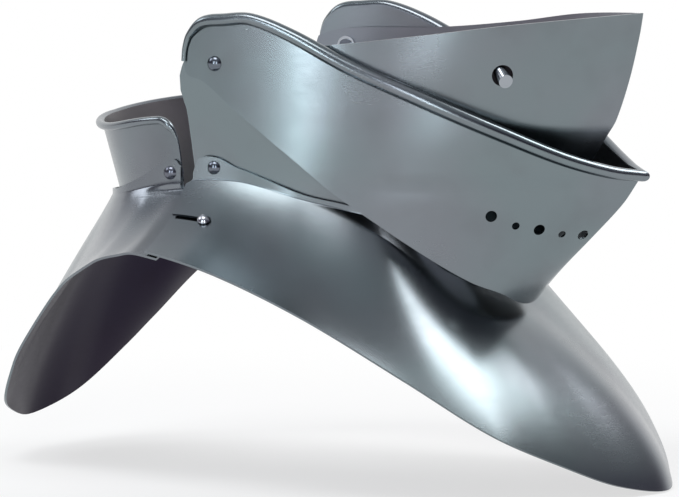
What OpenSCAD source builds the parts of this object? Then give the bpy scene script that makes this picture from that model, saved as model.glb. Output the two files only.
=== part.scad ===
// Falling bevor: a gorget in two halves, a rear collar, a chin plate and a
// keeled face plate that swings on two rivets.
// Millimetres. X to the wearer's left, Y to the rear, Z up. The origin is on the
// centre plane, under the face pivots, at the height of the neck opening.

/* [Sheet] */
// Thickness of the gorget and collar plates
sheet_t = 1.3; // [1.0:0.1:1.6]
// Thickness of the chin and face plates
plate_t = 1.3; // [1.0:0.1:1.6]
// Gap between the gorget halves where they overlap
lap_gap = 1.3; // [1:0.1:1.5]

/* [Face plate] */
// Height of the face pivots above the neck opening
pivot_z = 65; // [62:0.5:68]
// Half width of the face plate at its pivots, which the other widths follow
face_half_w = 86.5; // [82:0.1:92]
// Radius of the rolled rim at its thickest
roll_r = 4.2; // [3:0.1:4.4]
// Radius of the large breath holes
breath_big_r = 3.1; // [2:0.1:3.5]
// Radius of the small breath holes
breath_small_r = 2.1; // [1:0.1:2.5]

/* [Gorget] */
// How far the front tip reaches forward of the face pivots
front_reach = 223.3; // [205:0.1:240]
// How far the back reaches behind the face pivots
back_reach = 157; // [145:0.5:170]
// How far the front tip reaches below the neck opening
front_drop = 159.5; // [148:0.5:172]
// How far the back reaches below the neck opening
back_drop = 139; // [126:0.5:152]
// Height of the upright lugs at their rivets
lug_h = 12.1; // [11:0.1:13]
// Height of the plain neck edge between the lugs
lip_h = 2.9; // [2:0.1:4]

/* [Rear collar] */
// Radius of the collar's rolled rim
collar_roll_r = 2.2; // [1.8:0.1:2.4]

/* [Rivets] */
// Shank radius of the rivets that plates turn on
shank_r = 2.4; // [2:0.1:2.8]
// Radial clearance of a turning shank
turn_clear = 0.05; // [0.03:0.01:0.1]
// Head radius of the face pivot rivets
pivot_head_r = 4.0; // [3.6:0.1:5]
// Head radius of the chin, collar and shoulder rivets
small_head_r = 3.6; // [3.4:0.1:4.4]
// Thickness of the washers under the peened ends
washer_t = 1.2; // [1:0.1:1.6]
// Radius of the washers
washer_r = 5.2; // [5:0.1:6.5]

/* [Catch and stud] */
// Radius of the catch pin
catch_r = 3.7; // [3.4:0.1:3.8]
// Height of the catch pin above the chin plate
catch_out = 3.2; // [3:0.1:3.4]
// Radius of the shoulder stud's neck
stud_r = 1.5; // [1.4:0.1:2.4]
// Radius of the shoulder stud's head
stud_head_r = 3.6; // [3.4:0.1:4]

/* [Hidden] */
$fn = 48;
steel = "lightsteelblue";
bright = "silver";

// Widths that follow the face plate, with the gaps between the plates
side_gap = 1.2;
chin_half_w = face_half_w - plate_t - side_gap;
neck_in = 3;
neck_half_w = chin_half_w - neck_in;
neck_gap = .5;
chin_low_w = neck_half_w - sheet_t - neck_gap;
rear_spread = 1;
collar_gap = .2;
collar_half_w = neck_half_w + rear_spread - sheet_t - collar_gap;
flare_out = 54.5;
gorget_half_w = neck_half_w + flare_out;

// Place of the shoulder stud on the flared sheet, as [u, v]
shoulder_turn = 0.5198;
shoulder_out = 0.461;

// Steps along and across each sheet
face_steps = 26;
face_rows = 9;
chin_steps = 24;
chin_rows = 10;
gorget_steps = 24;
gorget_rows = 13;
collar_steps = 18;
collar_rows = 6;
roll_points = 9;
roll_from = -75;
roll_to = 150;

// Smooth curve through knots k with values v
function slope(k, v, j) = let (n = len(k) - 1, a = max(j - 1, 0), b = min(j + 1, n))
    (v[b] - v[a]) / (k[b] - k[a]);
function span_of(k, x, i = 0) = (i >= len(k) - 2 || x < k[i + 1]) ? i : span_of(k, x, i + 1);
function hermite(a, b, sa, sb, u) =
    (2*u*u*u - 3*u*u + 1)*a + (u*u*u - 2*u*u + u)*sa + (3*u*u - 2*u*u*u)*b + (u*u*u - u*u)*sb;
function curve(k, v, x0) = let (
        x = min(max(x0, k[0]), k[len(k) - 1]),
        i = span_of(k, x),
        h = k[i + 1] - k[i]
    )
    hermite(v[i], v[i + 1], slope(k, v, i)*h, slope(k, v, i + 1)*h, (x - k[i])/h);
function mix(a, b, u) = a + (b - a)*u;
function clamp(x) = min(max(x, 0), 1);
function smooth(x) = let (c = clamp(x)) c*c*(3 - 2*c);
function unit(v) = v / norm(v);

// A keeled surface: t runs from the pivots (0) to the keel (1), z is the height
function keeled(w, keel, power, blunt, t, z) =
    [-w*pow(max(1 - pow(max(t, 0), power), 0), blunt), keel*t, z];

// Knots and values that go on past both ends as their own mirror image
function past_turns(k) = concat([-k[1]], k, [2 - k[len(k) - 2]]);
function past_ends(v, sign) = concat([sign*v[1]], v, [sign*v[len(v) - 2]]);

// Face plate
face_keel_z = [-64, -55, -43, -28, -9, 4, 9.5, 30, 70];
face_keel_y = [-144, -152.5, -164, -179, -197, -206, -210, -218, -224];
face_edge_t = [-.080, -.077, -.066, -.03, .03, .1, .2, .33, .5, .66, .82, .93, 1];
face_top_z = [66, 72.5, 79.5, 87, 89, 89.5, 81.6, 66.9, 50.1, 33.9, 18.1, 9.8, 6.9];
face_top_left_z = [66, 71.5, 78, 85, 87, 87.5, 80.4, 66.5, 50.1, 33.9, 18.1, 9.8, 6.9];
face_low_z = [65, 61, 58, 55.5, 44.9, 32.9, 17.1, -2.1, -21, -36.2, -49.2, -56.5, -63.8];
face_blunt_z = [-64, -30, 0];
face_blunt = [.55, .85, 1];
roll_t = [-.080, -.02, .1, .33, .5, .66, .82, .93, 1];
roll_share = [.31, .76, .79, .95, 1, 1, .9, .81, .71];
roll_lift_t = [0, .5, .66, .8, 1];
roll_lift = [.55, .72, .56, .3, .05];
function face_low(t) = curve(face_edge_t, face_low_z, t);
face_surface = function (t, z) keeled(
    face_half_w, curve(face_keel_z, face_keel_y, z), 2.5, curve(face_blunt_z, face_blunt, z), t, z);

// Chin plate
chin_keel_z = [-45, -10, 9.5, 27, 35, 57, 80, 91.5];
chin_keel_y = [-137, -163, -177, -188, -193, -200.5, -206, -208];
chin_edge_t = [-.108, -.1, -.092, -.084, 0, .27, .52, .74, 1];
chin_top_z = [58, 63, 66, 68, 73, 75.3, 81, 86.8, 92];
chin_top_left_z = [58, 63, 66, 70, 74.5, 76.5, 81.6, 88, 92];
chin_low_z = [50, 44, 36, 4, -3, -11, -18, -27, -38];
chin_w_z = [-20, 10, 50, 65, 95];
function chin_w(z) = curve(chin_w_z,
    [chin_low_w - 2, chin_low_w, chin_half_w - .8, chin_half_w, chin_half_w], z);
chin_surface = function (t, z) keeled(chin_w(z), curve(chin_keel_z, chin_keel_y, z), 2.8, 1, t, z);

// Gorget rings, from the front (0) round to the back (1)
low_u = past_turns([0, .07, .13, .2, .3, .4, .48, .55, .6, .68, .76, .82, .87, .92, .96, 1]);
low_x = past_ends(gorget_half_w*[
    0, .27, .491, .732, .871, .967, 1, .989, .952, .841, .686, .59, .509, .369, .207, 0], -1);
low_y = past_ends(concat(
    -front_reach*[1, .9409, .863, .7403, .5504, .3202, .1075],
    back_reach*[.0955, .2229, .4268, .5892, .758, .8376, .9261, .9669, 1]), 1);
low_z = past_ends(concat(
    -front_drop*[1, .9624, .884, .7649, .5831, .3881, .2577, .1944],
    -back_drop*[.2194, .3209, .4317, .6475, .764, .8993, .964, 1]), 1);
neck_u = past_turns([0, .15, .3, .42, .5, .6, .7, .85, 1]);
neck_x = past_ends([0, .444*neck_half_w, .815*neck_half_w, neck_half_w - 2, neck_half_w,
    neck_half_w + rear_spread, .938*neck_half_w, .543*neck_half_w, 0], -1);
neck_ring_y = [-120, -112, -88, -45, -10, 28, 58, 81.5, 93];
neck_ring_z = [-54, -44, -17.4, -5.4, 2.6, .6, -6, -10, -12];
neck_y = past_ends(neck_ring_y, 1);
neck_z = past_ends(neck_ring_z, 1);
bend_u = past_turns([0, .25, .5, .75, 1]);
bend_out = past_ends([.897, .659, .38, .288, .793], 1);
bend_down = past_ends([.59, .60, .62, .57, .55], 1);
function low_ring(u) = [-curve(low_u, low_x, u), curve(low_u, low_y, u), curve(low_u, low_z, u)];
function neck_ring(u) = [-curve(neck_u, neck_x, u), curve(neck_u, neck_y, u), curve(neck_u, neck_z, u)];
function bend_ring(u) = let (
        n = neck_ring(u),
        l = low_ring(u),
        f = curve(bend_u, bend_out, u),
        g = curve(bend_u, bend_down, u)
    )
    [mix(n.x, l.x, f), mix(n.y, l.y, f), mix(n.z, l.z, g)];
// v below 0 is the upright edge round the neck, v from 0 to 1 is the flared sheet
function flare(u, v) = (1 - v)*(1 - v)*neck_ring(u) + 2*v*(1 - v)*bend_ring(u) + v*v*low_ring(u);
function gorget_point(u, v) = v < 0 ? neck_ring(u) + [0, 0, -v*100] : flare(u, v);
// The rear half steps in under the front half
function step_in(u, v) = (sheet_t + lap_gap)*(1 - smooth((u - .60)/.05))*smooth(v/.07);
function flare_normal(u, v) = let (
        d = .002,
        a = flare(u + d, v) - flare(u - d, v),
        b = flare(u, v + d) - flare(u, v - d)
    )
    unit(cross(a, b));
function front_lug_h(u) = curve([.36, .42, .5, .53, .555, .563],
    [lip_h, lip_h, .6*lug_h, lug_h, .94*lug_h, .37*lug_h], u);
function rear_lug_h(u) = curve([.583, .592, .6, .62, .66, .74],
    [.66*lug_h, .99*lug_h, lug_h, .89*lug_h, .5*lug_h, lip_h], u);
function front_seam(v) = .563 + .01*smooth((v + .02)/.05) - .016*smooth(v);
function rear_seam(v) = mix(.583, mix(.492, .542, smooth((v - .6)/.3)), smooth((v - .05)/.10));
// The halves as sheets: s runs from the centre plane (0) to the seam (1)
front_sheet = function (s, v) gorget_point(s*front_seam(v), v);
rear_sheet = function (s, v) let (u = mix(1, rear_seam(v), s))
    v < 0 ? gorget_point(u, v) : flare(u, v) - step_in(u, v)*flare_normal(u, v);
function front_top(s) = -front_lug_h(s*front_seam(-.05))/100;
function rear_top(s) = -rear_lug_h(mix(1, rear_seam(-.05), s))/100;

// Rear collar: a runs from the front edge (0) to the middle of the back (1)
collar_edge_a = [0, .012, .035, .07, .12, .5, 1];
collar_top_z = [-9, 5, 23.5, 31.5, 34, 28, 30.5];
collar_top_left_z = [-9, 6, 26, 35, 38, 36, 30.5];
collar_low_z = -12;
collar_rim_z = 30;
collar_front_y = 20.5;
collar_low_depth = 66;
collar_rim_depth = 80.5;
function collar_depth(z) =
    mix(collar_low_depth, collar_rim_depth, (z - collar_low_z)/(collar_rim_z - collar_low_z));
collar_surface = function (a, z)
    [-collar_half_w*cos(90*a), collar_front_y + collar_depth(z)*sin(90*a), z];

// Outward unit normal of sheet f at (a, b), with steps da and db
function normal_at(f, a, b, da, db) =
    unit(cross((f(a + da, b) - f(a, b))*sign(da), f(a, b + db) - f(a, b - db)));

// Cross section of a sheet at a: up the outer face, round the rolled edge,
// and down the inner face. bs lists the rows from the lower edge to the top.
// lift is how far the roll stands outwards, in radii, and edge is the top
// edge's direction, so that the roll turns outwards.
function section(f, a, bs, t, da, db, roll, lift, edge, centre) = let (
        n = len(bs) - 1,
        rows = [for (b = bs) [f(a, b), normal_at(f, a, b, da, db)]],
        tip = rows[n],
        up = unit(cross(tip[1], edge)),
        mid = tip[0] + tip[1]*roll*lift - up*roll*.2,
        ring = roll == 0 ? [] : [for (k = [0:roll_points - 1])
            let (w = mix(roll_from, roll_to, k/(roll_points - 1))) mid + roll*(tip[1]*cos(w) + up*sin(w))],
        outer = [for (r = rows) r[0]],
        inner = [for (k = [n:-1:0]) rows[k][0] - rows[k][1]*t],
        all = concat(outer, ring, inner),
        m = len(all)
    )
    !centre ? all : [for (k = [0:m - 1]) let (
            row = k <= n ? k : (k >= m - 1 - n ? m - 1 - k : n),
            run = f(a + da, bs[row]) - f(a, bs[row])
        ) all[k] - run*(all[k].x/run.x)];

function mirrored(s) = [for (q = s) [-q.x, q.y, q.z]];
// Both sides of a sheet, each from sections as on the right, centre last
function both_sides(right, left) = concat(right, [for (i = [len(left) - 2:-1:0]) mirrored(left[i])]);
function flipped(s) = [for (i = [len(s) - 1:-1:0]) s[i]];

// A closed solid through a list of like sections, each a thin closed strip
module loft(s) {
    n = len(s);
    m = len(s[0]);
    function at(i, j) = i*m + j%m;
    function cap(i) = [for (j = [0:floor(m/2) - 1], k = [0:1])
        if (j + k + 1 < m - 1 - j)
            (k == 0 ? [at(i, j), at(i, j + 1), at(i, m - 1 - j)]
                : [at(i, j + 1), at(i, m - 2 - j), at(i, m - 1 - j)])];
    function turned(f) = [f[2], f[1], f[0]];
    polyhedron(
        points = [for (q = s) each q],
        faces = concat(
            [for (i = [0:n - 2], j = [0:m - 1]) [at(i, j), at(i, j + 1), at(i + 1, j + 1)]],
            [for (i = [0:n - 2], j = [0:m - 1]) [at(i, j), at(i + 1, j + 1), at(i + 1, j)]],
            [for (f = cap(0)) turned(f)],
            cap(n - 1)
        ),
        convexity = 10);
}

// Stations from lo to hi, closer together near both ends
function stations(lo, hi, n) = [for (i = [0:n]) mix(lo, hi, (1 - cos(180*i/n))/2)];
function even(lo, hi, n) = [for (i = [0:n]) mix(lo, hi, i/n)];

// Turns a shape's +Z to direction d and puts it at p
module aim(p, d) translate(p) rotate([0, acos(d.z/norm(d)), atan2(d.y, d.x)]) children();
module bore(p, d, r) aim(p, d) cylinder(r = r, h = 12, center = true);
module on_both() {
    children();
    mirror([1, 0, 0]) children();
}

// Domed rivet: the sheet's face is at z = 0 and the shank runs down by grip
module rivet(head_r, head_h, grip, tail_r, tail_h, seat = head_seat) {
    dome = (head_r*head_r + head_h*head_h)/(2*head_h);
    translate([0, 0, seat]) rotate_extrude() intersection() {
        translate([0, head_h - dome]) circle(r = dome);
        square([head_r, head_h]);
    }
    translate([0, 0, -grip]) cylinder(r = shank_r, h = grip + seat + .1);
    translate([0, 0, -grip - tail_h]) cylinder(r = tail_r, h = tail_h);
}
module washer() difference() {
    cylinder(r = washer_r, h = washer_t);
    translate([0, 0, -1]) cylinder(r = shank_r, h = washer_t + 2);
}

// Places and outward directions of the fittings on the wearer's right
outwards = [-1, 0, 0];
tail_h = 1.2;
tail_r = 3.6;
free_gap = 0.3;
head_seat = .25;
hinge_seat = .6;
curve_gap = .3;
pivot_at = [-face_half_w, 0, pivot_z];
pivot_grip = face_half_w - chin_half_w + plate_t + free_gap + washer_t;
chin_turn = .532;
chin_rivet_drop = 2.5;
chin_at = [neck_ring(chin_turn).x, neck_ring(chin_turn).y, lug_h - chin_rivet_drop];
chin_lean = chin_w(chin_at.z) - chin_w(chin_at.z - washer_r);
chin_grip = -chin_at.x - chin_w(chin_at.z) + plate_t + free_gap + chin_lean + washer_t;
collar_turn = .601;
collar_rivet_drop = 6.1;
collar_at = [neck_ring(collar_turn).x, neck_ring(collar_turn).y, lug_h - collar_rivet_drop];
function collar_x(y) =
    -collar_surface(asin((y - collar_front_y)/collar_depth(collar_at.z))/90, collar_at.z).x;
collar_lean = collar_x(collar_at.y) - collar_x(collar_at.y + washer_r);
collar_grip = -collar_at.x - collar_x(collar_at.y) + sheet_t + 2*free_gap + collar_lean + washer_t;
stud_at = flare(shoulder_turn, shoulder_out);
stud_dir = flare_normal(shoulder_turn, shoulder_out);
hinge_at = [-stud_at.x, stud_at.y, stud_at.z];
hinge_dir = [-stud_dir.x, stud_dir.y, stud_dir.z];
lap_grip = 2*sheet_t + lap_gap + curve_gap;
catch_t = .736;
catch_z = 60.5;
catch_at = chin_surface(catch_t, catch_z);
catch_dir = normal_at(chin_surface, catch_t, catch_z, -.002, .1);
catch_hole_r = catch_r + 1.9;
catch_flange_t = 1.5;
catch_lean = 38;
// The pin leans down and forward, and slides along its own axis
catch_fwd = unit(cross([0, 0, 1], catch_dir));
catch_down = unit(cross(catch_dir, catch_fwd))*-1;
catch_side = .446*catch_fwd*sign(-catch_fwd.y) + .896*catch_down*sign(-catch_down.z);
catch_axis = catch_dir*cos(catch_lean) + catch_side*sin(catch_lean);
catch_face = catch_dir*cos(catch_lean/2) + catch_side*sin(catch_lean/2);
spring_t = .8;
spring_seat = .35;
spring_head_gap = .15;
spring_w = 11;
spring_rivet_t = [.46, .52];
spring_rivet_r = 1.5;

function face_half(tops) = [for (t = stations(face_edge_t[0], 1, face_steps)) let (
        d = .004,
        fore = min(t + d, 1),
        top = curve(face_edge_t, tops, t),
        edge = face_surface(fore, curve(face_edge_t, tops, fore))
            - face_surface(t - d, curve(face_edge_t, tops, t - d))
    )
    section(face_surface, t, even(face_low(t), top, face_rows), plate_t, -.002, .1,
        roll_r*curve(roll_t, roll_share, t), curve(roll_lift_t, roll_lift, t), edge, t == 1)];
module face_plate() color(steel) difference() {
    loft(both_sides(face_half(face_top_z), face_half(face_top_left_z)));
    on_both() {
        bore(pivot_at, outwards, shank_r);
        for (k = [0:4]) breath_hole(k);
    }
}
breath_t = [.736, .809, .870, .930, .977];
breath_z = [-13.5, -19, -21.5, -24.5, -25.5];
module breath_hole(k) bore(
    face_surface(breath_t[k], breath_z[k]),
    normal_at(face_surface, breath_t[k], breath_z[k], -.002, .1),
    k%2 == 0 ? breath_big_r : breath_small_r);

function chin_half(tops) = [for (t = stations(chin_edge_t[0], 1, chin_steps))
    section(chin_surface, t, even(curve(chin_edge_t, chin_low_z, t), curve(chin_edge_t, tops, t), chin_rows),
        plate_t, -.002, .1, 0, 0, [0, 1, 0], t == 1)];
module chin_plate() color(steel) difference() {
    loft(both_sides(chin_half(chin_top_z), chin_half(chin_top_left_z)));
    on_both() {
        bore(pivot_at, outwards, shank_r + turn_clear);
        bore(chin_at, outwards, shank_r + turn_clear);
    }
    bore(catch_at, catch_dir, catch_hole_r);
    for (t = spring_rivet_t) bore(chin_surface(t, catch_z), spring_dir(t), spring_rivet_r);
}
function spring_dir(t) = normal_at(chin_surface, t, catch_z, -.002, .1);

gorget_bs = concat(even(1, .1, gorget_rows - 4), [.045, .012]);
function with_lug(top) = concat(gorget_bs, [-.006, mix(-.006, top, .5), top]);
function front_half() = [for (s = stations(1, 0, gorget_steps))
    section(front_sheet, s, with_lug(front_top(s)), sheet_t,
        s > .5 ? -.002 : .002, .002, 0, 0, [0, 1, 0], s == 0)];
module front_gorget_plate() color(steel) difference() {
    loft(both_sides(front_half(), front_half()));
    on_both() bore(chin_at, outwards, shank_r);
    bore(hinge_at, hinge_dir, shank_r + turn_clear);
    stud_slot();
}
// The slot runs from the stud to the rear edge of the front half, along the
// way the stud takes as the halves swing apart
slot_clear = .35;
slot_len = 20*stud_r;
slot_dir = unit(cross(stud_at - hinge_at, hinge_dir));
slot_away = cross(stud_dir, slot_dir);
module stud_slot() {
    bore(stud_at, stud_dir, stud_r + slot_clear);
    multmatrix([for (k = [0:2]) [slot_dir[k], slot_away[k], stud_dir[k], stud_at[k]]])
        translate([0, -stud_r - slot_clear, -3*sheet_t]) cube([slot_len, 2*(stud_r + slot_clear), 6*sheet_t]);
}

function rear_half() = [for (s = stations(1, 0, gorget_steps))
    section(rear_sheet, s, with_lug(rear_top(s)), sheet_t,
        s > .5 ? -.002 : .002, -.002, 0, 0, [0, 1, 0], s == 0)];
module rear_gorget_plate() color(steel) difference() {
    loft(flipped(both_sides(rear_half(), rear_half())));
    on_both() {
        bore(collar_at, outwards, shank_r);
        bore(stud_at, stud_dir, shank_r);
    }
}

function collar_half(tops) = [for (a = stations(0, 1, collar_steps)) let (
        d = .004,
        back = max(a - d, 0),
        fore = min(a + d, 1),
        edge = collar_surface(back, curve(collar_edge_a, tops, back))
            - collar_surface(fore, curve(collar_edge_a, tops, fore)),
        taper = max(smooth((a - .02)/.05), .01)
    )
    section(collar_surface, a, even(collar_low_z, curve(collar_edge_a, tops, a), collar_rows), sheet_t,
        -.002, -.1, collar_roll_r*taper, .55, edge, a == 1)];
module rear_collar() color(steel) difference() {
    loft(flipped(both_sides(collar_half(collar_top_z), collar_half(collar_top_left_z))));
    on_both() bore(collar_at, outwards, shank_r + turn_clear);
}

module face_pivot_rivet() color(bright) aim(pivot_at, outwards)
    rivet(pivot_head_r, 2, pivot_grip, tail_r, tail_h);
module face_pivot_washer() color(bright) aim(pivot_at, outwards)
    translate([0, 0, -pivot_grip]) washer();
module chin_rivet() color(bright) aim(chin_at, outwards)
    rivet(small_head_r, 1.8, chin_grip, tail_r, tail_h);
module chin_washer() color(bright) aim(chin_at, outwards)
    translate([0, 0, -chin_grip]) washer();
module collar_rivet() color(bright) aim(collar_at, outwards)
    rivet(small_head_r, 1.8, collar_grip, tail_r, tail_h);
module collar_washer() color(bright) aim(collar_at, outwards)
    translate([0, 0, -collar_grip]) washer();

module shoulder_hinge_rivet() color(bright) aim(hinge_at, hinge_dir)
    rivet(small_head_r, 1.8, lap_grip + washer_t, tail_r, tail_h, hinge_seat);
module shoulder_hinge_washer() color(bright) aim(hinge_at, hinge_dir)
    translate([0, 0, -lap_grip - washer_t]) washer();
module shoulder_stud() color(bright) aim(stud_at, stud_dir) {
    translate([0, 0, hinge_seat]) rotate_extrude() intersection() {
        translate([0, -1.5]) circle(r = 4.2);
        square([stud_head_r, 2.8]);
    }
    translate([0, 0, -sheet_t - lap_gap]) cylinder(r = stud_r, h = sheet_t + lap_gap + hinge_seat + 1);
    translate([0, 0, -lap_grip]) cylinder(r = shank_r, h = sheet_t + curve_gap);
    translate([0, 0, -lap_grip - tail_h]) cylinder(r = tail_r, h = tail_h);
}

cut_box = 8*catch_r;
module catch_pin() color(bright) {
    difference() {
        aim(catch_at - catch_dir*plate_t/2, catch_axis)
            translate([0, 0, -catch_out - catch_r]) cylinder(r = catch_r, h = 3*catch_out + 2*catch_r);
        aim(catch_at + catch_dir*catch_out + catch_side*catch_out*tan(catch_lean), catch_face)
            translate([0, 0, cut_box/2]) cube(cut_box, center = true);
        aim(catch_at - catch_dir*(plate_t + .4 + catch_flange_t/2), catch_dir)
            translate([0, 0, -cut_box/2]) cube(cut_box, center = true);
    }
    aim(catch_at - catch_dir*(plate_t + .4 + catch_flange_t), catch_dir)
        cylinder(r = catch_hole_r + 1.4, h = catch_flange_t);
}

// The leaf lies on the chin plate at its riveted end and stands off under the pin
module catch_leaf_spring() color(bright) difference() {
    steps = 14;
    loft([for (i = [0:steps]) let (
            t = mix(.42, .765, i/steps),
            n = spring_dir(t),
            stand = plate_t + mix(spring_seat, .5 + catch_flange_t, smooth((t - .56)/.12)),
            p = chin_surface(t, catch_z) - n*stand,
            up = unit([0, 0, 1] - n*n.z)*spring_w/2
        )
        [p - up, p + up, p + up - n*spring_t, p - up - n*spring_t]]);
    for (t = spring_rivet_t) bore(chin_surface(t, catch_z), spring_dir(t), spring_rivet_r);
}
module catch_spring_rivets() color(bright) for (t = spring_rivet_t)
    aim(chin_surface(t, catch_z), spring_dir(t)) {
        translate([0, 0, -plate_t - spring_seat - spring_t - spring_head_gap])
            cylinder(r = spring_rivet_r, h = plate_t + spring_seat + spring_t + spring_head_gap);
        translate([0, 0, -plate_t - spring_seat - spring_t - spring_head_gap - 1]) cylinder(r = 2.6, h = 1);
    }

front_gorget_plate();
rear_gorget_plate();
rear_collar();
chin_plate();
face_plate();
face_pivot_rivet();  // right_face_pivot_rivet
mirror([1, 0, 0]) face_pivot_rivet();  // left_face_pivot_rivet
face_pivot_washer();  // right_face_pivot_washer
mirror([1, 0, 0]) face_pivot_washer();  // left_face_pivot_washer
chin_rivet();  // right_chin_rivet
mirror([1, 0, 0]) chin_rivet();  // left_chin_rivet
chin_washer();  // right_chin_washer
mirror([1, 0, 0]) chin_washer();  // left_chin_washer
collar_rivet();  // right_collar_rivet
mirror([1, 0, 0]) collar_rivet();  // left_collar_rivet
collar_washer();  // right_collar_washer
mirror([1, 0, 0]) collar_washer();  // left_collar_washer
shoulder_hinge_rivet();
shoulder_hinge_washer();
shoulder_stud();
catch_pin();
catch_leaf_spring();
catch_spring_rivets();
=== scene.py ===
# Falling bevor in satin steel on a plain white floor.
import math

import bmesh
import bpy
import numpy as np
from mathutils import Matrix, Vector


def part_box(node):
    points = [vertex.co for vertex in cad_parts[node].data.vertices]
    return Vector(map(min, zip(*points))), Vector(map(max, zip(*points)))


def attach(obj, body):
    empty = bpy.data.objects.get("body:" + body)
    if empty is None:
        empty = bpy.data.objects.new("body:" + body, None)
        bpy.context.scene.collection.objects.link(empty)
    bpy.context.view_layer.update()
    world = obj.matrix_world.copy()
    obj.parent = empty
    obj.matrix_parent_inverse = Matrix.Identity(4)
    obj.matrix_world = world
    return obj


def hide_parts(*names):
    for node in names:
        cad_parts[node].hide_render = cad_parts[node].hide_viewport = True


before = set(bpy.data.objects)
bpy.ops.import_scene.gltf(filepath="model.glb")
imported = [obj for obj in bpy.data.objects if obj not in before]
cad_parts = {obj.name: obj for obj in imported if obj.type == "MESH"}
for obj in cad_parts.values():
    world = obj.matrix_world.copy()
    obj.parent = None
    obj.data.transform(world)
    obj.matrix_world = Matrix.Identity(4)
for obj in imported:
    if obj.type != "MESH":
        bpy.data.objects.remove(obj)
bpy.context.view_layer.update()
MM = 0.001


def bearing(az, el):
    """The direction at an azimuth from the front and an elevation, both in degrees."""
    a, e = math.radians(az), math.radians(el)
    return Vector((math.sin(a) * math.cos(e), -math.cos(a) * math.cos(e), math.sin(e)))


# Camera: the photograph's view of the wearer's right side, with the point AIM at pixel AIM_PX
W, H = 679, 497
AZ, EL = -65, 3.7
DISTANCE = 3.0
FOCAL_PX = 5550
SENSOR_MM = 36
AIM = Vector((0, 0, 0.066))
AIM_PX = (284, 52)
TO = bearing(AZ, EL)
RIGHT = Vector((math.cos(math.radians(AZ)), math.sin(math.radians(AZ)), 0))
UP = TO.cross(RIGHT)
camera = bpy.data.objects.new("camera", bpy.data.cameras.new("camera"))
bpy.context.collection.objects.link(camera)
camera.location = AIM + TO * DISTANCE
look = -TO + RIGHT * ((W / 2 - AIM_PX[0]) / FOCAL_PX) - UP * ((H / 2 - AIM_PX[1]) / FOCAL_PX)
camera.rotation_euler = look.to_track_quat("-Z", "Y").to_euler()
camera.data.lens = FOCAL_PX * SENSOR_MM / W
camera.data.clip_end = 30
bpy.context.scene.camera = camera
bpy.context.scene.view_settings.view_transform = "Standard"


# Curves and surfaces of the sheets, in millimetres
def curve(k, v, x):
    """The smooth curve through the values v at the knots k, read at x."""
    k, v = np.asarray(k, float), np.asarray(v, float)
    x = np.clip(np.asarray(x, float), k[0], k[-1])
    i = np.clip(np.searchsorted(k, x, side="right") - 1, 0, len(k) - 2)
    lo, hi = np.maximum(np.arange(len(k)) - 1, 0), np.minimum(np.arange(len(k)) + 1, len(k) - 1)
    s = (v[hi] - v[lo]) / (k[hi] - k[lo])
    h = k[i + 1] - k[i]
    u = (x - k[i]) / h
    return ((2 * u**3 - 3 * u**2 + 1) * v[i] + (u**3 - 2 * u**2 + u) * s[i] * h
            + (3 * u**2 - 2 * u**3) * v[i + 1] + (u**3 - u**2) * s[i + 1] * h)


def mix(a, b, u):
    return a + (b - a) * u


def smooth(x):
    c = np.clip(x, 0, 1)
    return c * c * (3 - 2 * c)


def unit(v):
    return v / np.linalg.norm(v, axis=-1, keepdims=True)


def points(*xyz):
    return np.stack(np.broadcast_arrays(*[np.asarray(c, float) for c in xyz]), axis=-1)


def keeled(w, keel, power, blunt, t, z):
    """A plan that runs from the side at t 0 to the keel in the middle at t 1."""
    side = np.maximum(1 - np.maximum(t, 0) ** power, 0)
    return points(-w * side**blunt, keel * t, z)


SHEET_T, LAP_GAP = 1.3, 1.3

# Face plate: t runs from behind the pivot, below 0, to the keel at 1
FACE_HALF_W, FACE_POWER = 86.5, 2.5
FACE_EDGE = [-.080, -.077, -.066, -.03, .03, .1, .2, .33, .5, .66, .82, .93, 1]
FACE_TOP = [66.0, 72.5, 79.5, 87.0, 89.0, 89.5, 81.6, 66.9, 50.1, 33.9, 18.1, 9.8, 6.9]
FACE_TOP_LEFT = [66.0, 71.5, 78, 85.0, 87.0, 87.5, 80.4, 66.5, 50.1, 33.9, 18.1, 9.8, 6.9]
FACE_LOW = [65, 61, 58, 55.5, 44.9, 32.9, 17.1, -2.1, -21, -36.2, -49.2, -56.5, -63.8]
FACE_KEEL_Z = [-64, -55, -43, -28, -9, 4, 9.5, 30, 70]
FACE_KEEL_Y = [-144, -152.5, -164, -179, -197, -206, -210, -218, -224]
FACE_BLUNT_Z, FACE_BLUNT = [-64, -30, 0], [.55, .85, 1]
FACE_ROLL_T = [-.080, -.02, .1, .33, .5, .66, .82, .93, 1]
FACE_ROLL_R = 4.2 * np.array([.31, .76, .79, .95, 1, 1, .9, .81, .71])
FACE_LIFT_T, FACE_LIFT = [0, .5, .66, .8, 1], [.55, .72, .56, .3, .05]


def face_surface(t, z):
    keel = curve(FACE_KEEL_Z, FACE_KEEL_Y, z)
    return keeled(FACE_HALF_W, keel, FACE_POWER, curve(FACE_BLUNT_Z, FACE_BLUNT, z), t, z)


# Chin plate, with t as on the face plate
CHIN_HALF_W, CHIN_LOW_W, CHIN_POWER = 84, 79.2, 2.8
CHIN_EDGE = [-.108, -.1, -.092, -.084, 0, .27, .52, .74, 1]
CHIN_TOP = [58, 63, 66, 68, 73, 75.3, 81, 86.8, 92]
CHIN_TOP_LEFT = [58, 63, 66, 70, 74.5, 76.5, 81.6, 88, 92]
CHIN_LOW = [50, 44, 36, 4, -3, -11, -18, -27, -38]
CHIN_W_Z = [-20, 10, 50, 65, 95]
CHIN_W = [CHIN_LOW_W - 2, CHIN_LOW_W, CHIN_HALF_W - .8, CHIN_HALF_W, CHIN_HALF_W]
CHIN_KEEL_Z = [-45, -10, 9.5, 27, 35, 57, 80, 91.5]
CHIN_KEEL_Y = [-137, -163, -177, -188, -193, -200.5, -206, -208]


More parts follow.
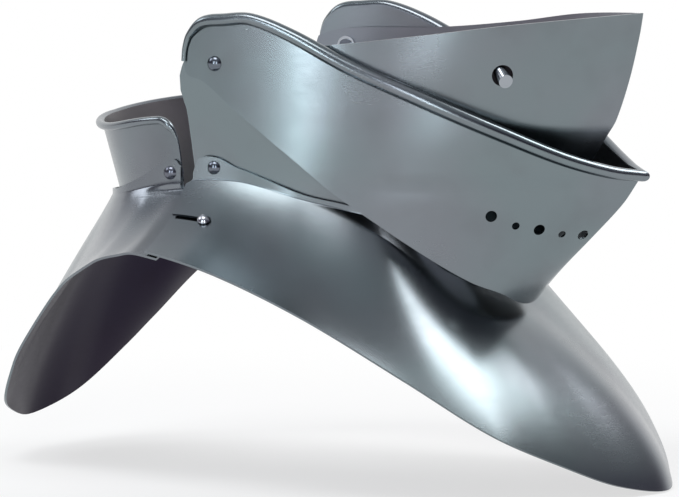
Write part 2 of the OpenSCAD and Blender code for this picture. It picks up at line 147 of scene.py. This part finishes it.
def chin_surface(t, z):
    w, keel = curve(CHIN_W_Z, CHIN_W, z), curve(CHIN_KEEL_Z, CHIN_KEEL_Y, z)
    return keeled(w, keel, CHIN_POWER, 1, t, z)


# Gorget: u runs from the front middle at 0 to the back middle at 1, and v from the neck at 0 to
# the lower edge at 1. Below 0, v runs up the upright flange, where 1 would be NECK_RISE.
LOW_U = [0, .07, .13, .2, .3, .4, .48, .55, .6, .68, .76, .82, .87, .92, .96, 1]
LOW_X = 135.5 * np.array([0, .27, .491, .732, .871, .967, 1, .989,
                          .952, .841, .686, .59, .509, .369, .207, 0])
LOW_Y = [-223.3, -210.1, -192.7, -165.3, -122.9, -71.5, -24, 15,
         35, 67, 92.5, 119, 131.5, 145.4, 151.8, 157]
LOW_Z = [-159.5, -153.5, -141, -122, -93, -61.9, -41.1, -31,
         -30.5, -44.6, -60, -90, -106.2, -125, -134, -139]
NECK_U = [0, .15, .3, .42, .5, .6, .7, .85, 1]
NECK_X = [0, .444 * 81, .815 * 81, 79, 81, 82, .938 * 81, .543 * 81, 0]
NECK_Y = [-120, -112, -88, -45, -10, 28, 58, 81.5, 93]
NECK_Z = [-54, -44, -17.4, -5.4, 2.6, .6, -6, -10, -12]
NECK_RISE = 100
BEND_U = [0, .25, .5, .75, 1]
BEND_OUT = [.897, .659, .38, .288, .793]
BEND_DOWN = [.59, .60, .62, .57, .55]
LUG_H, LIP_H = 12.1, 2.9
FRONT_LUG_U = [.36, .42, .5, .53, .555, .563]
FRONT_LUG_H = [LIP_H, LIP_H, .6 * LUG_H, LUG_H, .94 * LUG_H, .37 * LUG_H]
REAR_LUG_U = [.583, .592, .6, .62, .66, .74]
REAR_LUG_H = [.66 * LUG_H, .99 * LUG_H, LUG_H, .89 * LUG_H, .5 * LUG_H, LIP_H]
FRONT_SEAM_U, REAR_SEAM_U = .563, .583
LAP_END_U, LAP_FADE_U, LAP_FADE_V = .60, .05, .07


def ring_curve(k, v, sign, u):
    """A curve that goes on past both ends as its own mirror image."""
    return curve([-k[1], *k, 2 - k[-2]], [sign * v[1], *v, sign * v[-2]], u)


def ring(k, x, y, z, u):
    return points(*[s * ring_curve(k, v, s, u) for s, v in ((-1, x), (1, y), (1, z))])


def neck_ring(u):
    return ring(NECK_U, NECK_X, NECK_Y, NECK_Z, u)


def flare(u, v):
    """The sloping part, bent once between the neck and the lower edge."""
    u, v = np.broadcast_arrays(np.asarray(u, float), np.asarray(v, float))
    n, l = neck_ring(u), ring(LOW_U, LOW_X, LOW_Y, LOW_Z, u)
    f, g = ring_curve(BEND_U, BEND_OUT, 1, u), ring_curve(BEND_U, BEND_DOWN, 1, u)
    bend = points(*[mix(n[..., i], l[..., i], share) for i, share in enumerate((f, f, g))])
    v = v[..., None]
    return (1 - v) ** 2 * n + 2 * v * (1 - v) * bend + v**2 * l


def flare_normal(u, v, d=.002):
    return unit(np.cross(flare(u + d, v) - flare(u - d, v), flare(u, v + d) - flare(u, v - d)))


def gorget_point(u, v):
    u, v = np.broadcast_arrays(np.asarray(u, float), np.asarray(v, float))
    upright = neck_ring(u) + points(0, 0, -v * NECK_RISE)
    return np.where((v < 0)[..., None], upright, flare(u, np.maximum(v, 0)))


def step_in(u, v):
    """How far the rear plate lies inwards, to pass under the front plate."""
    lap = (1 - smooth((u - LAP_END_U) / LAP_FADE_U)) * smooth(v / LAP_FADE_V)
    return (SHEET_T + LAP_GAP) * lap


def front_seam(v):
    return FRONT_SEAM_U + .01 * smooth((v + .02) / .05) - .016 * smooth(v)


def rear_seam(v):
    lap = mix(.492, .542, smooth((v - .6) / .3))
    return mix(REAR_SEAM_U, lap, smooth((v - .05) / .10))


def front_sheet(s, v):
    return gorget_point(s * front_seam(v), v)


def rear_sheet(s, v):
    u = mix(1, rear_seam(v), s)
    u, v = np.broadcast_arrays(np.asarray(u, float), np.asarray(v, float))
    low = np.maximum(v, 0)
    down = flare(u, low) - step_in(u, v)[..., None] * flare_normal(u, low)
    return np.where((v < 0)[..., None], gorget_point(u, v), down)


LUG_V = -.05


def front_top(s):
    return -curve(FRONT_LUG_U, FRONT_LUG_H, s * front_seam(LUG_V)) / NECK_RISE


def rear_top(s):
    return -curve(REAR_LUG_U, REAR_LUG_H, mix(1, rear_seam(LUG_V), s)) / NECK_RISE


# Rear collar: a runs from the side at 0 to the back middle at 1
COLLAR_EDGE = [0, .012, .035, .07, .12, .5, 1]
COLLAR_TOP = [-9, 5, 23.5, 31.5, 34, 28, 30.5]
COLLAR_TOP_LEFT = [-9, 6, 26, 35, 38, 36, 30.5]
COLLAR_LOW, COLLAR_RIM = -12, 30
COLLAR_HALF_W, COLLAR_MIDDLE_Y = 80.5, 20.5
COLLAR_LOW_DEPTH, COLLAR_RIM_DEPTH = 66, 80.5
COLLAR_ROLL_R, COLLAR_LIFT = 2.2, .55


def collar_surface(a, z):
    height = (z - COLLAR_LOW) / (COLLAR_RIM - COLLAR_LOW)
    depth = mix(COLLAR_LOW_DEPTH, COLLAR_RIM_DEPTH, height)
    ang = np.radians(90 * np.asarray(a, float))
    return points(-COLLAR_HALF_W * np.cos(ang), COLLAR_MIDDLE_Y + depth * np.sin(ang), z)


def normal_at(f, a, b, da, db):
    return unit(np.cross((f(a + da, b) - f(a, b)) * np.sign(da), f(a, b + db) - f(a, b - db)))


# Sections of the sheets
ROLL_POINTS = 17
ROLL_FROM, ROLL_TO = -75, 150
ROLL_SINK = .2


def section(f, a, bs, da, db, edge, centre, roll=0, lift=0):
    """Up the outer face, round the rolled edge and down the inner face.

    da and db are the small steps that give the normal, and edge is the top edge's direction.
    At the centre the points slide along the surface until they lie on the middle plane.
    """
    rows = f(a, bs)
    n = normal_at(f, a, bs, da, db)
    tip, out = rows[-1], n[-1]
    up = unit(np.cross(out, edge))
    rolled = np.zeros((0, 3))
    if roll > 0:
        mid = tip + out * roll * lift - up * roll * ROLL_SINK
        w = np.radians(np.linspace(ROLL_FROM, ROLL_TO, ROLL_POINTS))[:, None]
        rolled = mid + roll * (out * np.cos(w) + up * np.sin(w))
    whole = np.concatenate([rows, rolled, (rows - n * SHEET_T)[::-1]])
    if centre:
        m, k = len(whole), len(bs)
        row = np.array([j if j < k else (m - 1 - j if j >= m - k else k - 1) for j in range(m)])
        run = f(a + da, bs)[row] - rows[row]
        whole = whole - run * (whole[:, :1] / run[:, :1])
    return whole


STEPS = 130
ROWS, COLLAR_ROWS, FLANGE_ROWS = 44, 26, 9
STEP_A, STEP_B, STEP_V = .002, .1, .002
FORWARD = np.array([0, 1, 0])


def stations(lo, hi):
    """Places from lo to hi that crowd together at both ends."""
    return lo + (hi - lo) * (1 - np.cos(np.pi * np.arange(STEPS + 1) / STEPS)) / 2


def edge_of(f, knots, tops, a, lo, hi, d=.004):
    b, c = min(a + d, hi), max(a - d, lo)
    return f(b, curve(knots, tops, b)) - f(c, curve(knots, tops, c))


def between(knots, lows, tops, t):
    return np.linspace(curve(knots, lows, t), curve(knots, tops, t), ROWS)


def face_half(tops):
    return [section(face_surface, t, between(FACE_EDGE, FACE_LOW, tops, t), -STEP_A, STEP_B,
                    edge_of(face_surface, FACE_EDGE, tops, t, -9, 1), t == 1,
                    curve(FACE_ROLL_T, FACE_ROLL_R, t), curve(FACE_LIFT_T, FACE_LIFT, t))
            for t in stations(FACE_EDGE[0], 1)]


def chin_half(tops):
    return [section(chin_surface, t, between(CHIN_EDGE, CHIN_LOW, tops, t), -STEP_A, STEP_B,
                    FORWARD, t == 1)
            for t in stations(CHIN_EDGE[0], 1)]


def collar_half(tops):
    return [section(collar_surface, a,
                    np.linspace(COLLAR_LOW, curve(COLLAR_EDGE, tops, a), COLLAR_ROWS),
                    -STEP_A, -STEP_B, -edge_of(collar_surface, COLLAR_EDGE, tops, a, 0, 1),
                    a == 1, COLLAR_ROLL_R * max(smooth((a - .02) / .05), .01), COLLAR_LIFT)
            for a in stations(0, 1)]


GORGET_VS = np.concatenate([np.linspace(1, .1, ROWS), np.linspace(.09, .012, 8), [.006, .002]])
GORGET_ROWS = len(GORGET_VS) + FLANGE_ROWS


def gorget_half(sheet, top, dv):
    return [section(sheet, s, np.concatenate([GORGET_VS, np.linspace(-.003, top(s), FLANGE_ROWS)]),
                    -STEP_A if s > .5 else STEP_A, dv, FORWARD, s == 0)
            for s in stations(1, 0)]


# Meshes
SHARP = math.radians(32)


def loft(name, half, rows, body, node, materials, holes=(), left=None):
    """A closed sheet through sections as on the right, centre last, with its holes cut.

    The left half mirrors the right, or has sections of its own. The inner face, which is the
    last rows of each section, has the second material.
    """
    other = np.array(half if left is None else left)[-2::-1] * np.array([-1, 1, 1])
    secs = np.concatenate([np.array(half), other])
    n, m = secs.shape[:2]
    at = np.arange(n * m).reshape(n, m)
    nxt = np.roll(at, -1, axis=1)
    faces = np.stack([at[:-1], nxt[:-1], nxt[1:], at[1:]], axis=-1).reshape(-1, 4).tolist()
    inner = (np.arange(m) >= m - rows) & (np.arange(m) < m - 1)
    kind = np.tile(inner, n - 1).astype(int).tolist()
    for i, flip in ((0, True), (n - 1, False)):
        for j in range(m // 2):
            k = m - 1 - j
            if j + 1 < k - 1:
                q = [at[i, j], at[i, j + 1], at[i, k - 1], at[i, k]]
            elif j + 1 == k - 1:
                q = [at[i, j], at[i, j + 1], at[i, k]]
            else:
                continue
            faces.append([int(x) for x in (q[::-1] if flip else q)])
            kind.append(0)
    mesh = bpy.data.meshes.new(name)
    mesh.from_pydata((secs.reshape(-1, 3) * MM).tolist(), [], faces)
    for mat in materials:
        mesh.materials.append(mat)
    mesh.polygons.foreach_set("material_index", kind)
    bm = bmesh.new()
    bm.from_mesh(mesh)
    bmesh.ops.recalc_face_normals(bm, faces=bm.faces)
    if bm.calc_volume(signed=True) < 0:
        bmesh.ops.reverse_faces(bm, faces=bm.faces)
    bm.to_mesh(mesh)
    bm.free()
    obj = bpy.data.objects.new(name, mesh)
    bpy.context.collection.objects.link(obj)
    for h in holes:
        cut(obj, h)
    mesh = obj.data
    mesh.polygons.foreach_set("use_smooth", [True] * len(mesh.polygons))
    mesh.set_sharp_from_angle(angle=SHARP)
    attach(obj, body)
    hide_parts(node)
    return obj


def matrix(p, d, x=None):
    """Puts +Z along d at p, given in mm, and +X along x where it is given."""
    z = Vector(d).normalized()
    q = z.to_track_quat("Z", "Y").to_matrix()
    if x is not None:
        xv = (Vector(x) - z * z.dot(Vector(x))).normalized()
        q = Matrix([xv, z.cross(xv), z]).transposed()
    return Matrix.Translation(Vector(p) * MM) @ q.to_4x4()


HOLE_SEGMENTS = 64
HOLE_DEPTH, SLOT_DEPTH = 12, 8


def cut(obj, hole):
    """Cuts a hole (place, direction, radius), or a slot that has a length and a heading too."""
    p, d, r = hole[:3]
    is_slot = len(hole) == 5
    bm = bmesh.new()
    bmesh.ops.create_cone(bm, cap_ends=True, segments=HOLE_SEGMENTS, radius1=r * MM,
                          radius2=r * MM, depth=HOLE_DEPTH * MM)
    if is_slot:
        for v in bmesh.ops.create_cube(bm, size=1)["verts"]:
            v.co = Vector(((v.co.x + .5) * hole[3], v.co.y * 2 * r, v.co.z * SLOT_DEPTH)) * MM
    tool_mesh = bpy.data.meshes.new("tool")
    bm.to_mesh(tool_mesh)
    bm.free()
    tool = bpy.data.objects.new("tool", tool_mesh)
    bpy.context.collection.objects.link(tool)
    tool.matrix_world = matrix(p, d, hole[4] if is_slot else None)
    mod = obj.modifiers.new("cut", "BOOLEAN")
    mod.object, mod.operation, mod.solver = tool, "DIFFERENCE", "EXACT"
    mod.use_self = is_slot
    bpy.context.view_layer.update()
    seen = obj.evaluated_get(bpy.context.evaluated_depsgraph_get())
    done = bpy.data.meshes.new_from_object(seen)
    obj.modifiers.clear()
    obj.data = done
    bpy.data.objects.remove(tool)


# Materials
class Graph:
    """Short forms for the nodes of one material or of the world."""

    def __init__(self, tree):
        self.nodes, self.links = tree.nodes, tree.links

    def put(self, socket, value):
        """Links another socket to this one, or writes a constant on it."""
        if isinstance(value, bpy.types.NodeSocket):
            self.links.new(value, socket)
        else:
            socket.default_value = value

    def fill(self, node, inputs):
        for key, value in inputs.items():
            self.put(node.inputs[key], value)

    def place(self, kind="Object"):
        return self.nodes.new("ShaderNodeTexCoord").outputs[kind]

    def math(self, operation, first, second):
        node = self.nodes.new("ShaderNodeMath")
        node.operation = operation
        self.fill(node, {0: first, 1: second})
        return node.outputs["Value"]

    def along(self, place, direction):
        node = self.nodes.new("ShaderNodeVectorMath")
        node.operation = "DOT_PRODUCT"
        self.fill(node, {0: place, 1: tuple(direction)})
        return node.outputs["Value"]

    def length(self, place):
        node = self.nodes.new("ShaderNodeVectorMath")
        node.operation = "LENGTH"
        self.fill(node, {0: place})
        return node.outputs["Value"]

    def ramp(self, source, lo, hi, out_lo=0, out_hi=1, shape="LINEAR"):
        node = self.nodes.new("ShaderNodeMapRange")
        node.interpolation_type = shape
        self.fill(node, {"Value": source, "From Min": lo, "From Max": hi,
                         "To Min": out_lo, "To Max": out_hi})
        return node.outputs["Result"]

    def mixed(self, factor, first, second):
        node = self.nodes.new("ShaderNodeMix")
        node.data_type = "RGBA"
        self.fill(node, {"Factor": factor, "A": first, "B": second})
        return node.outputs["Result"]

    def noise(self, place, scale, detail, stretch):
        mapping = self.nodes.new("ShaderNodeMapping")
        self.fill(mapping, {"Vector": place, "Scale": stretch})
        node = self.nodes.new("ShaderNodeTexNoise")
        self.fill(node, {"Vector": mapping.outputs["Vector"], "Scale": scale, "Detail": detail})
        return node.outputs["Fac"]

    def bump(self, height, strength, distance):
        node = self.nodes.new("ShaderNodeBump")
        self.fill(node, {"Height": height, "Strength": strength, "Distance": distance})
        return node


# Each noise of the finish: scale per metre, detail and stretch
EVEN = (1, 1, 1)
CLOUDS, STAINS, PITS = (9, 3, EVEN), (38, 6, EVEN), (1400, 2, EVEN)
POLISH, WEAR = (110, 5, (1, 1, 6)), (14, 4, EVEN)
GRAIN, DENTS = (700, 3, (1, 1, 3)), (24, 1, EVEN)
COOL, WARM, STAINED, PITTED = (.96, 1.01, 1.03), (1.04, .98, 1.04), (.80, .78, .80), (.45,) * 3
STAIN_SHARE, PIT_SHARE = .45, .1
POLISH_ROUGH, WEAR_ROUGH = .012, (-.03, .05)
GRAIN_BUMP, DENT_BUMP = (.002, .0003), (.05, .004)


def steel(name, colour, rough, dark=0.0):
    """Hand-finished steel: cloudy tint, fine pits, soft dents and faint polishing marks."""
    mat = bpy.data.materials.new(name)
    mat.use_nodes = True
    graph = Graph(mat.node_tree)
    shader = graph.nodes["Principled BSDF"]
    place = graph.place()

    def tinted(tint):
        return (*[c * k for c, k in zip(colour, tint)], 1)

    def patches(kind, lo, hi, out_lo=0, out_hi=1):
        return graph.ramp(graph.noise(place, *kind), lo, hi, out_lo, out_hi)

    base = graph.mixed(patches(CLOUDS, .38, .62), tinted(COOL), tinted(WARM))
    base = graph.mixed(patches(STAINS, .5, .8, 0, STAIN_SHARE + dark), base, tinted(STAINED))
    base = graph.mixed(patches(PITS, .68, .76, 0, PIT_SHARE + dark), base, tinted(PITTED))
    marks = patches(POLISH, .3, .7, rough - POLISH_ROUGH, rough + POLISH_ROUGH)
    grain = graph.bump(graph.noise(place, *GRAIN), *GRAIN_BUMP)
    dents = graph.bump(graph.noise(place, *DENTS), *DENT_BUMP)
    graph.links.new(grain.outputs["Normal"], dents.inputs["Normal"])
    graph.fill(shader, {"Metallic": 1, "Base Color": base,
                        "Roughness": graph.math("ADD", marks, patches(WEAR, .3, .7, *WEAR_ROUGH)),
                        "Normal": dents.outputs["Normal"]})
    return mat


PLATE = steel("satin_steel", (.20, .228, .238), .24)
# The gorget plates' inner faces are painted near black, with a larger share of stains and pits:
# painted shade for the dark inside of the arch, not a colour of the steel.
INSIDE_PAINTED_SHADE = steel("inside_steel_painted_shade", (.018, .013, .026), .4, dark=.2)
CHIN_INSIDE = steel("chin_inside_steel", (.24, .25, .27), .36, dark=.1)
# The face plate's inner face is lighter than its outer face: painted light, so that the shaded gap
# under the face plate reflects lighter in the gorget.
FACE_INSIDE_PAINTED_LIGHT = steel("face_inside_steel_painted_light", (.25, .27, .285), .36, dark=.1)
COLLAR_INSIDE = steel("collar_inside_steel", (.22, .22, .215), .36, dark=.1)
BRIGHT = steel("bright_steel", (.46, .48, .50), .22)
DULL = steel("rivet_steel", (.15, .165, .19), .22)
PIN = steel("catch_steel", (.36, .38, .40), .24)

# Holes, at the same places as the fittings that sit in them
SHANK, CLEAR = 2.4, .05
SIDEWAYS = (-1, 0, 0)
PIVOT = (-FACE_HALF_W, 0, 65)
CHIN_RIVET = (*neck_ring(.532)[:2], 9.6)
COLLAR_RIVET = (*neck_ring(.601)[:2], 6)
STUD_AT = (.5198, .461)
STUD_SLOT_R, STUD_SLOT_LENGTH = 1.85, 30
CATCH_AT = (.736, 60.5)
CATCH_HOLE_R = 5.6
BREATH_AT = ((.736, -13.5), (.809, -19), (.870, -21.5), (.930, -24.5), (.977, -25.5))
BREATH_WIDE, BREATH_NARROW = 3.1, 2.1

stud, stud_dir = flare(*STUD_AT), flare_normal(*STUD_AT)
hinge, hinge_dir = stud * (-1, 1, 1), stud_dir * (-1, 1, 1)
slot_dir = unit(np.cross(stud - hinge, hinge_dir))
catch = chin_surface(*CATCH_AT)
catch_dir = normal_at(chin_surface, *CATCH_AT, -STEP_A, STEP_B)


def both(p, d, r):
    return [(p, d, r), ((-p[0], p[1], p[2]), (-d[0], d[1], d[2]), r)]


breath = []
for k, (t, z) in enumerate(BREATH_AT):
    breath += both(face_surface(t, z), normal_at(face_surface, t, z, -STEP_A, STEP_B),
                   BREATH_WIDE if k % 2 == 0 else BREATH_NARROW)

# The five sheets
loft("face_sheet", face_half(FACE_TOP), ROWS, "face", "face_plate",
     [PLATE, FACE_INSIDE_PAINTED_LIGHT], both(PIVOT, SIDEWAYS, SHANK) + breath, face_half(FACE_TOP_LEFT))
loft("chin_sheet", chin_half(CHIN_TOP), ROWS, "chin", "chin_plate",
     [PLATE, CHIN_INSIDE], both(PIVOT, SIDEWAYS, SHANK + CLEAR)
     + both(CHIN_RIVET, SIDEWAYS, SHANK + CLEAR) + [(catch, catch_dir, CATCH_HOLE_R)],
     chin_half(CHIN_TOP_LEFT))
loft("front_sheet", gorget_half(front_sheet, front_top, STEP_V), GORGET_ROWS,
     "front_gorget", "front_gorget_plate", [PLATE, INSIDE_PAINTED_SHADE],
     both(CHIN_RIVET, SIDEWAYS, SHANK) + [(hinge, hinge_dir, SHANK + CLEAR),
                                          (stud, stud_dir, STUD_SLOT_R, STUD_SLOT_LENGTH,
                                           slot_dir)])
loft("rear_sheet", gorget_half(rear_sheet, rear_top, -STEP_V), GORGET_ROWS,
     "rear_gorget", "rear_gorget_plate", [PLATE, INSIDE_PAINTED_SHADE],
     both(COLLAR_RIVET, SIDEWAYS, SHANK))
loft("collar_sheet", collar_half(COLLAR_TOP), COLLAR_ROWS, "collar", "rear_collar",
     [PLATE, COLLAR_INSIDE], both(COLLAR_RIVET, SIDEWAYS, SHANK + CLEAR),
     collar_half(COLLAR_TOP_LEFT))

# The catch pin is painted near black down in its hole: painted shade, darker the deeper the pin
# sits below the chin plate's surface
PIN_HOLE_SHADE = (.012, .011, .013, 1)
SHADE_FROM, SHADE_TO = .0016, .0002
graph = Graph(PIN.node_tree)
pin_colour = graph.nodes["Principled BSDF"].inputs["Base Color"]
hole_at = float(catch @ catch_dir) * MM
depth = graph.ramp(graph.along(graph.place(), catch_dir), hole_at - SHADE_FROM, hole_at - SHADE_TO)
graph.put(pin_colour, graph.mixed(depth, PIN_HOLE_SHADE, pin_colour.links[0].from_socket))

# The fittings keep their CAD shapes
for name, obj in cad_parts.items():
    if obj.hide_render:
        continue
    if name == "catch_pin":
        mat = PIN
    elif name == "catch_spring_rivets":  # their outer ends are flush with the chin plate
        mat = PLATE
    else:
        mat = DULL if name.endswith("rivet") else BRIGHT
    obj.data.materials.clear()
    obj.data.materials.append(mat)

# Floor: white away from the object, and lit near it, where the shadow falls
FLOOR_HALF, FLOOR_DROP = 9, .0005
FLOOR_TINT = (.8, .8, .8, 1)
WHITE_FROM, WHITE_TO, WHITE_NEAR = .15, .6, .6
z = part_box("front_gorget_plate")[0][2] - FLOOR_DROP
corners = [(x * FLOOR_HALF, y * FLOOR_HALF, z) for x, y in ((-1, -1), (1, -1), (1, 1), (-1, 1))]
floor_mesh = bpy.data.meshes.new("floor")
floor_mesh.from_pydata(corners, [], [(0, 1, 2, 3)])
floor = bpy.data.objects.new("floor", floor_mesh)
bpy.context.collection.objects.link(floor)
mat = bpy.data.materials.new("floor")
mat.use_nodes = True
graph = Graph(mat.node_tree)
shader = graph.nodes["Principled BSDF"]
graph.fill(shader, {"Base Color": FLOOR_TINT, "Roughness": 1, "Specular IOR Level": 0})
glow = graph.nodes.new("ShaderNodeEmission")
glow.inputs["Color"].default_value = (1, 1, 1, 1)
ray = graph.nodes.new("ShaderNodeLightPath").outputs
seen = graph.math("MAXIMUM", ray["Is Camera Ray"], ray["Is Glossy Ray"])
seen = graph.math("MAXIMUM", seen, ray["Is Transmission Ray"])
white = graph.ramp(graph.length(graph.place()), WHITE_FROM, WHITE_TO, WHITE_NEAR, 1, "SMOOTHSTEP")
blend = graph.nodes.new("ShaderNodeMixShader")
graph.fill(blend, {"Fac": graph.math("MULTIPLY", white, seen), 1: shader.outputs["BSDF"],
                   2: glow.outputs["Emission"]})
graph.put(graph.nodes["Material Output"].inputs["Surface"], blend.outputs["Shader"])
floor_mesh.materials.append(mat)

# The room: a white wall behind the object, a grey ceiling, and darker towards the camera.
# Each layer has a colour, an azimuth, an elevation, and the cosines where it starts and is full.
ROOM = (.13, .12, .155, 1)
LAYERS = (
    ((.42, .45, .48, 1), 0, 90, .15, .95),
    ((1, 1, 1, 1), 118, 8, .3, .85),
    ((.34, .34, .35, 1), 41, 49, .80, .99),
    ((.045, .035, .065, 1), -30, 2, .84, .99),
    ((.04, .035, .055, 1), -82, 4, .96, .998),
)
world = bpy.data.worlds.new("world")
bpy.context.scene.world = world
world.use_nodes = True
graph = Graph(world.node_tree)
place = graph.place("Generated")
tone = ROOM
for colour, az, el, lo, hi in LAYERS:
    share = graph.ramp(graph.along(place, bearing(az, el)), lo, hi, shape="SMOOTHSTEP")
    tone = graph.mixed(share, tone, colour)
graph.put(graph.nodes["Background"].inputs["Color"], tone)

# Soft lights: azimuth, elevation, distance, width, height, watts and colour
LIT = Vector((0, -.03, -.03))
LAMPS = {
    "top_box": (-100, 62, 2.2, 1.3, .7, 17, (1, 1, 1)),
    "left_box": (-101, 10, 2.5, .24, 1.5, 14, (.88, .96, 1)),
    "front_box": (-68, 10, 2.6, .3, 1.2, 12, (.90, .96, 1)),
    "far_box": (38, 50, 2.4, 1.3, .9, 23, (1, 1, 1)),
    "back_box": (-160, 35, 2.4, .9, .9, 9, (.95, .97, 1)),
}
for name, (az, el, away, width, height, watts, colour) in LAMPS.items():
    light = bpy.data.lights.new(name, "AREA")
    light.shape, light.size, light.size_y = "RECTANGLE", width, height
    light.energy, light.color = watts, colour
    obj = bpy.data.objects.new(name, light)
    bpy.context.collection.objects.link(obj)
    to = bearing(az, el)
    obj.location = LIT + to * away
    obj.rotation_euler = (-to).to_track_quat("-Z", "Y").to_euler()
